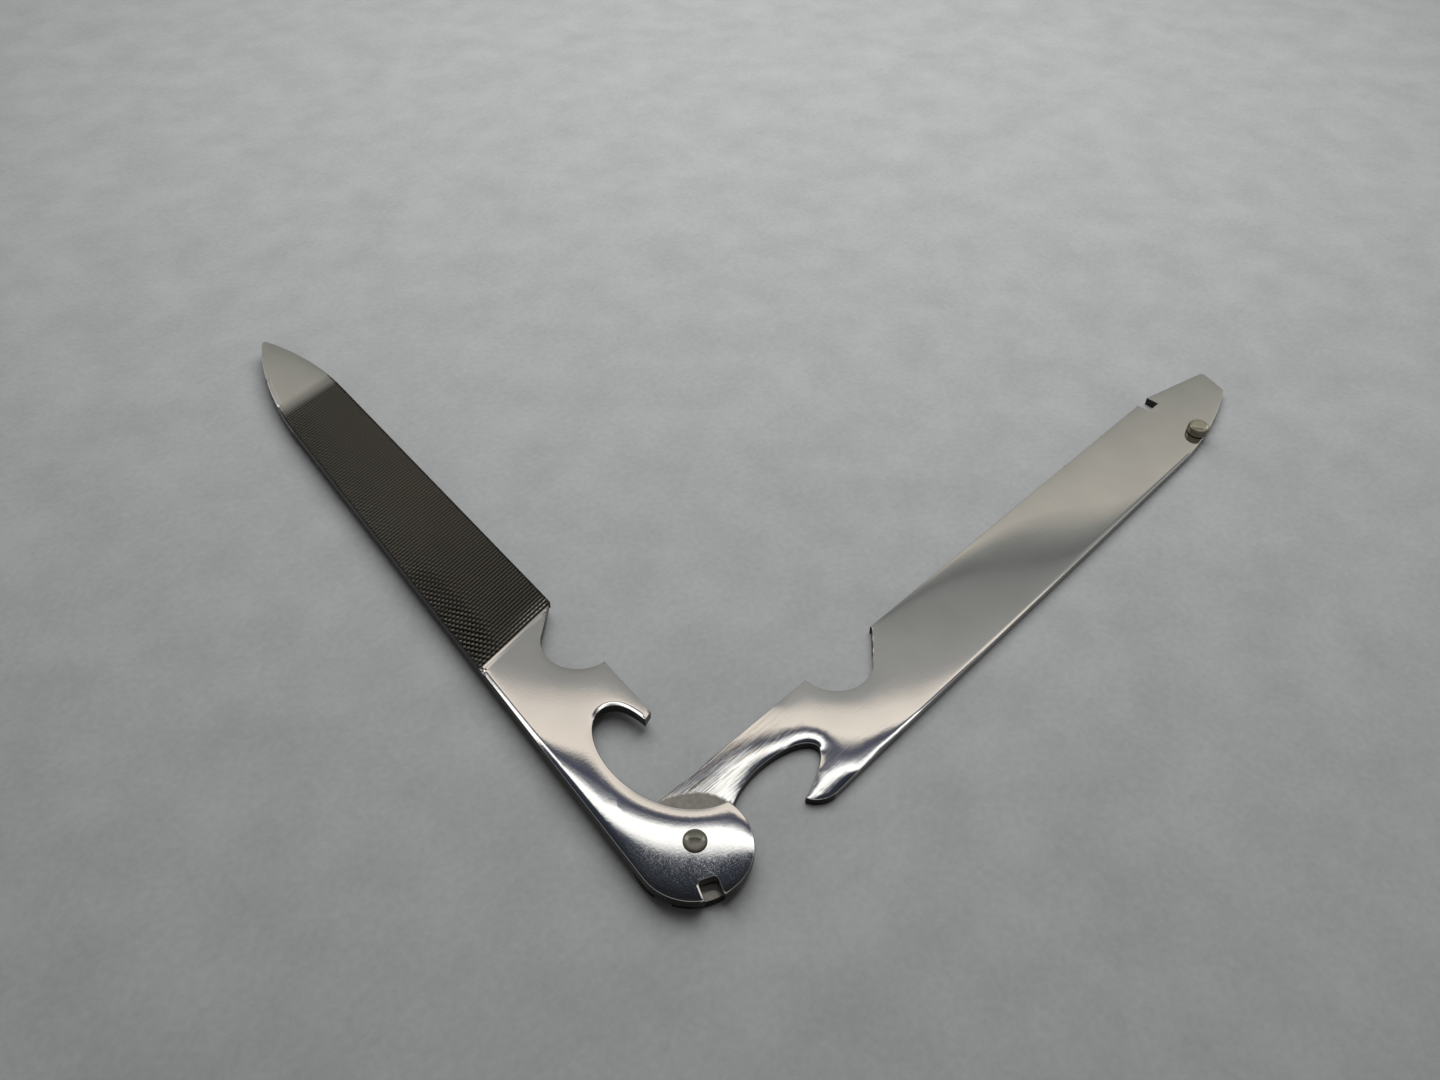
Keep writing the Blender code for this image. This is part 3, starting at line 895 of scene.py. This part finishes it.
def cloudy_gloss(tree, cloud, scratch):
    return maths(tree, "MULTIPLY_ADD", scratch, 0.03, fit(tree, cloud, 0.3, 0.7, 0.02, 0.035))


def finish_steel(tree, shader, grain, height, colour, gloss):
    """Blade steel from its parts, with the walls darkened: partly the duller sheared steel, partly painted
    shade.
    """
    sheared_and_shaded = add(tree, "ShaderNodeAttribute", attribute_name="wall").outputs["Fac"]
    # Dark wall colour, partly the sheared steel's own and partly painted shade
    edge = ramp(tree, grain, [(0.35, (0.022, 0.022, 0.021)), (0.65, (0.055, 0.054, 0.052))])
    bumped(tree, shader, height, 4e-7)
    tree.links.new(mix(tree, sheared_and_shaded, colour, edge), shader.inputs["Base Color"])
    tree.links.new(maths(tree, "MULTIPLY_ADD", sheared_and_shaded, 0.3, gloss), shader.inputs["Roughness"])
    shader.inputs["Metallic"].default_value = 1.0


def opener_steel():
    """Polished steel, brushed near the pivot, with a rubbed ring round it."""
    made, tree, shader = blank_material("opener_steel_look")
    place = blade_coordinates(tree, 0)
    along = axis(tree, place, "X")
    across = axis(tree, place, "Y")
    grain = noise(tree, place, 5.0, 2)
    cloud = noise(tree, place, 0.22, 3)
    brush = noise(tree, stretched(tree, place, 3, (0.35, 10, 1)), 1.0, 4)
    scratch = hair_scratches(tree, place)
    height = maths(tree, "MULTIPLY_ADD", scratch, -0.3, grain)
    height = maths(tree, "MULTIPLY_ADD", brush, fit(tree, along, 7, 17, 5, 0.5, True), height)
    colour = ramp(tree, cloud, [(0.3, (0.66, 0.655, 0.64)), (0.7, (0.72, 0.715, 0.7))])
    gloss = cloudy_gloss(tree, cloud, scratch)

    # Warm streaks near the neck's straight edge
    streak = fit(tree, brush, 0.5, 0.62, 0, 1, True)
    streak = maths(tree, "MULTIPLY", streak, fit(tree, along, 6, 14, 0.8, 0, True))
    streak = maths(tree, "MULTIPLY", streak, fit(tree, across, 1.2, 3.2, 0.1, 1, True))
    colour = mix(tree, streak, colour, (0.42, 0.36, 0.26, 1))

    # The ring where the other blade's head rubs
    flat = add(tree, "ShaderNodeVectorMath", {0: place, 1: (1, 1, 0)}, operation="MULTIPLY").outputs[0]
    reach = add(tree, "ShaderNodeVectorMath", {0: flat}, operation="LENGTH").outputs["Value"]
    ring = fit(tree, maths(tree, "MULTIPLY_ADD", grain, 0.5, reach), 4.5, 4.85, 1, 0, True)
    dull = ramp(tree, noise(tree, place, 2.2, 4), [(0.3, (0.36, 0.34, 0.31)), (0.7, (0.48, 0.46, 0.43))])
    colour = mix(tree, ring, colour, dull)
    gloss = maths(tree, "MULTIPLY_ADD", ring, 0.28, gloss)
    finish_steel(tree, shader, grain, height, colour, gloss)
    return made


def tooth_colour(tree, place):
    """Painted light on the cut rows: a painted highlight on each land and painted shade in each valley, and
    painted glints and shade where the second cut crosses them.
    """
    along = axis(tree, place, "X")
    across = axis(tree, place, "Y")
    row_way = (math.cos(TOOTH_LEAN) / TOOTH_PITCH, math.sin(TOOTH_LEAN) / TOOTH_PITCH, 0)
    first_land = TOOTH_START * math.cos(TOOTH_LEAN) / TOOTH_PITCH + TOOTH_LAND / 2
    row = maths(tree, "SUBTRACT", dot(tree, place, row_way), first_land)
    # Painted highlight on the lands and painted shade in the valleys, made patchy by soot
    soot = maths(tree, "MULTIPLY_ADD", noise(tree, place, 0.3, 5, 0.6), 0.3, -0.15)
    land = fit(tree, maths(tree, "PINGPONG", row, 0.5), 0.1, 0.36, 1, 0)
    painted_light_and_soot = maths(tree, "ADD", land, soot)
    colour = ramp(tree, painted_light_and_soot, [(0, (0.044, 0.0415, 0.035)), (1, (0.18, 0.169, 0.146))])

    # Painted glints and shade in spots along the second cut, strongest towards the straight edge and the
    # near end; the whole cut is also darker towards the near end
    cross_way = (math.cos(CROSS_LEAN) / CROSS_PITCH, math.sin(CROSS_LEAN) / CROSS_PITCH, 0)
    painted_dot_light = fit(tree, maths(tree, "PINGPONG", dot(tree, place, cross_way), 0.5), 0.1, 0.34, 1.1, -0.8)
    crossed = maths(tree, "MULTIPLY", fit(tree, across, 0.6, 3.4, 0, 1, True),
                    fit(tree, along, 25, 37, 1, 0.1, True))
    crossed = maths(tree, "MULTIPLY", crossed, fit(tree, noise(tree, place, 0.9, 3), 0.35, 0.65, 0.45, 1))
    painted_light_and_tone = maths(tree, "MULTIPLY_ADD", painted_dot_light, crossed, fit(tree, along, 26, 44, 0.8, 1, True))
    return scaled(tree, colour, maths(tree, "MAXIMUM", painted_light_and_tone, 0.1))


def file_steel():
    """Polished steel with specks on the worn half of the head, and dark cut teeth carrying painted
    highlights and painted shade.
    """
    made, tree, shader = blank_material("file_steel_look")
    place = blade_coordinates(tree, OPENING)
    toothed = add(tree, "ShaderNodeAttribute", attribute_name="teeth").outputs["Fac"]
    grain = noise(tree, place, 5.0, 2)
    cloud = noise(tree, place, 0.22, 3)
    scratch = maths(tree, "MULTIPLY", hair_scratches(tree, place), maths(tree, "LESS_THAN", toothed, 0.05))
    height = maths(tree, "MULTIPLY_ADD", scratch, -0.12, grain)
    worn = fit(tree, dot(tree, place, (-0.78, 0.62, 0)), -0.3, 1.4, 0.012, 0.1, True)
    specks = maths(tree, "MULTIPLY", fit(tree, noise(tree, place, 11, 3, 0.7), 0.48, 0.66, 0, 1), worn)
    gloss = maths(tree, "ADD", specks, cloudy_gloss(tree, cloud, scratch))
    gloss = maths(tree, "MULTIPLY_ADD", toothed, 0.22, gloss)
    colour = ramp(tree, cloud, [(0.3, (0.64, 0.63, 0.615)), (0.7, (0.7, 0.69, 0.675))])
    colour = mix(tree, toothed, colour, tooth_colour(tree, place))
    finish_steel(tree, shader, grain, height, colour, gloss)
    return made


def pin_steel(name, colours, roughness, shade_heights):
    """Turned steel with a fine peened grain, and painted shade on its lower part that fades out between two
    heights over the joint.
    """
    made, tree, shader = blank_material(name)
    place = blade_coordinates(tree, 0)
    grain = noise(tree, place, 5, 3)
    bumped(tree, shader, grain, 1.5e-6)
    colour = ramp(tree, noise(tree, place, 2.5, 3), [(0.3, colours[0]), (0.7, colours[1])])
    painted_shade = fit(tree, axis(tree, place, "Z"), *shade_heights, 0.85, 0, True)
    # Painted shade: a dark brown mixed in below the first height
    tree.links.new(mix(tree, painted_shade, colour, (0.08, 0.075, 0.05, 1)), shader.inputs["Base Color"])
    tree.links.new(fit(tree, grain, 0.3, 0.7, *roughness), shader.inputs["Roughness"])
    shader.inputs["Metallic"].default_value = 1.0
    return made


# Where the two blade frames lie in the world
PLACE = Matrix.Translation((PIVOT.x, PIVOT.y, 0))
FILE_PLACE = PLACE @ Matrix.Rotation(OPENING, 4, "Z")


def build_opener_blade():
    name = "opener_blade_detail"
    mesh = blade_mesh(name, opener_outline(), OPENER_REACH, OPENER_BEVEL, OPENER_HOLES, PLACE, 0, False)
    place_piece(name, "opener", "opener_blade", mesh, opener_steel())


def build_file_blade():
    name = "file_blade_detail"
    base = THICKNESS + GAP
    mesh = blade_mesh(name, file_outline(), FILE_REACH, FILE_BEVEL, FILE_HOLES, FILE_PLACE, base, True)
    place_piece(name, "file", "file_blade", mesh, file_steel())


def build_rivet():
    name = "pivot_rivet_detail"
    seat = 2 * (THICKNESS + GAP)
    profile = dome(radius=0.86, height=0.5, base=seat, power=1.9)
    profile += [(0.6, seat), (0.6, 0.35), (0.9, 0), (0, 0)]
    colours = [(0.28, 0.27, 0.235), (0.38, 0.37, 0.325)]
    # Painted shade darkens the dome's lower part
    look = pin_steel("rivet_steel_look", colours, roughness=(0.2, 0.28), shade_heights=(0.45, 0.76))
    place_piece(name, "opener", "pivot_rivet", pin_mesh(name, profile, (0, 0)), look)


def build_stud():
    name = "stop_stud_detail"
    seat = THICKNESS + GAP
    profile = dome(radius=1.0, height=0.85, base=seat + 0.05, power=4.5)
    profile += [(0.98, seat), (0.45, seat), (0.45, 0.35), (0.65, 0), (0, 0)]
    colours = [(0.58, 0.54, 0.43), (0.7, 0.66, 0.54)]
    # Painted shade darkens the stud's sides, fading out at its top
    look = pin_steel("stud_steel_look", colours, roughness=(0.22, 0.3), shade_heights=(0.2, 0.5))
    place_piece(name, "opener", "stop_stud", pin_mesh(name, profile, STUD_PLACE), look)


# Floor, room, lamp and camera, in metres
FLOOR_HALF = 4
FLOOR_DROP = 0.00003


def build_floor():
    mesh = bpy.data.meshes.new("floor")
    sides = ((-1, -1), (1, -1), (1, 1), (-1, 1))
    mesh.from_pydata([(FLOOR_HALF * x, FLOOR_HALF * y, -FLOOR_DROP) for x, y in sides], [], [(0, 1, 2, 3)])
    made, tree, shader = blank_material("floor_look")
    where = add(tree, "ShaderNodeTexCoord").outputs["Object"]
    cloud = noise(tree, where, 150, 4, 0.6)
    fleck = noise(tree, where, 1800, 3, 0.6)
    paper = maths(tree, "MULTIPLY_ADD", fleck, 0.4, maths(tree, "MULTIPLY", cloud, 0.6))
    tree.links.new(ramp(tree, paper, [(0.36, (0.282, 0.287, 0.29)), (0.64, (0.338, 0.343, 0.346))]),
                   shader.inputs["Base Color"])
    bumped(tree, shader, paper, 0.00004, strength=0.25)
    shader.inputs["Roughness"].default_value = 0.7
    shader.inputs["Specular IOR Level"].default_value = 0.2
    mesh.materials.append(made)
    floor = bpy.data.objects.new("floor", mesh)
    bpy.context.scene.collection.objects.link(floor)


# The main view's direction over the floor, and the direction to its right
VIEW_TURN = math.radians(43.9)
AHEAD = Vector((math.cos(VIEW_TURN), math.sin(VIEW_TURN), 0))
ASIDE = Vector((math.sin(VIEW_TURN), -math.cos(VIEW_TURN), 0))
UP = Vector((0, 0, 1))

# Light of a made-up room along an arc from the horizon ahead, at 0 degrees, over the top. Each colour is as
# the steel mirrors it, so the steel's own share is divided out. The other sides are plain
STEEL_SHARE = 0.67
ROOM = [
    # Wall
    (0, (118, 118, 114)), (34, (122, 124, 118)), (43, (164, 160, 152)),
    # Rail
    (44.5, (114, 116, 113)), (46, (94, 95, 96)), (46.5, (116, 117, 115)), (51.8, (140, 140, 138)),
    # Curtain
    (53.3, (205, 197, 188)), (55.7, (222, 213, 203)),
    # Frame
    (56.3, (60, 64, 79)), (57.6, (62, 66, 82)),
    # Window
    (57.9, (272, 272, 269)), (59.7, (272, 272, 269)),
    # Beam
    (60, (104, 109, 120)), (60.7, (50, 54, 64)), (65, (28, 30, 33)), (70, (30, 31, 34)),
    # Ceiling
    (79, (118, 118, 116)), (120, (140, 140, 137))]
PLAIN_LOW = (122, 121, 118)
PLAIN_HIGH = (158, 157, 154)
SOFTBOX = (1.3, 1.28, 1.22, 1)
GROUND = (0.2, 0.2, 0.195, 1)
BACKDROP = (0.36, 0.36, 0.355, 1)
# Share of the room's light that falls on matt surfaces
MATT_SHARE = 0.25


def mirrored(*colour):
    """The light that polished steel shows as a written colour."""
    return tuple(c / STEEL_SHARE for c in linear(*colour))


def build_world():
    world = bpy.data.worlds.new("room")
    bpy.context.scene.world = world
    world.use_nodes = True
    tree = world.node_tree
    way = add(tree, "ShaderNodeTexCoord").outputs["Generated"]
    ahead = dot(tree, way, AHEAD)
    aside = dot(tree, way, ASIDE)
    up = axis(tree, way, "Z")

    # The room ahead, between plain sides
    over = maths(tree, "DIVIDE", maths(tree, "ARCTAN2", up, ahead), math.pi)
    room = ramp(tree, over, [(angle / 180, mirrored(*colour)) for angle, colour in ROOM])
    plain = ramp(tree, up, [(0, mirrored(*PLAIN_LOW)), (1, mirrored(*PLAIN_HIGH))])
    fan = maths(tree, "MULTIPLY", fit(tree, maths(tree, "ABSOLUTE", aside), 0.5, 0.62, 1, 0, True),
                fit(tree, ahead, -0.3, -0.05, 0, 1, True))
    light = mix(tree, fan, plain, room)

    # A soft box on each side
    left = fit(tree, aside, -0.58, -0.72, 0, 1, True)
    right = fit(tree, aside, 0.55, 0.8, 0, 1, True)
    boxes = maths(tree, "MULTIPLY_ADD", right, 0.8, left)
    boxes = maths(tree, "MULTIPLY", boxes, fit(tree, up, 0.2, 0.35, 0, 1, True))
    boxes = maths(tree, "MULTIPLY", boxes, fit(tree, ahead, 0.15, 0.4, 0, 1, True))
    light = mix(tree, boxes, light, SOFTBOX)
    light = mix(tree, fit(tree, up, -0.02, 0.02, 1, 0), light, GROUND)

    path = add(tree, "ShaderNodeLightPath")
    light = scaled(tree, light, fit(tree, path.outputs["Is Glossy Ray"], 0, 1, MATT_SHARE, 1))
    light = mix(tree, path.outputs["Is Camera Ray"], light, BACKDROP)
    tree.links.new(light, tree.nodes["Background"].inputs["Color"])


def build_lamp():
    """A square lamp over the far side, out of sight of the camera and the steel."""
    data = bpy.data.lights.new("far_light", "AREA")
    data.shape = "RECTANGLE"
    data.size = data.size_y = 0.24
    data.energy = 0.59
    lamp = bpy.data.objects.new("far_light", data)
    lamp.location = (0.08, 0.06, 0.15)
    lamp.visible_glossy = False
    lamp.visible_camera = False
    bpy.context.scene.collection.objects.link(lamp)


CAMERA_PLACE = (-0.064391, -0.063394, 0.0722)
CAMERA_TILT = math.radians(45)
CAMERA_ROLL = math.radians(-1.5)
LENS = 29.125
SENSOR = 36


def build_camera():
    forward = AHEAD * math.cos(CAMERA_TILT) - UP * math.sin(CAMERA_TILT)
    down = -AHEAD * math.sin(CAMERA_TILT) - UP * math.cos(CAMERA_TILT)
    x = ASIDE * math.cos(CAMERA_ROLL) + down * math.sin(CAMERA_ROLL)
    y = ASIDE * math.sin(CAMERA_ROLL) - down * math.cos(CAMERA_ROLL)
    data = bpy.data.cameras.new("camera")
    data.lens = LENS
    data.sensor_width = SENSOR
    data.sensor_fit = "HORIZONTAL"
    data.clip_start = 0.002
    data.clip_end = 20
    camera = bpy.data.objects.new("camera", data)
    turn = Matrix((x, y, -forward)).transposed().to_4x4()
    camera.matrix_world = Matrix.Translation(CAMERA_PLACE) @ turn
    bpy.context.scene.collection.objects.link(camera)
    bpy.context.scene.camera = camera


build_opener_blade()
build_file_blade()
build_rivet()
build_stud()
build_floor()
build_world()
build_lamp()
build_camera()
bpy.context.scene.view_settings.view_transform = "Standard"
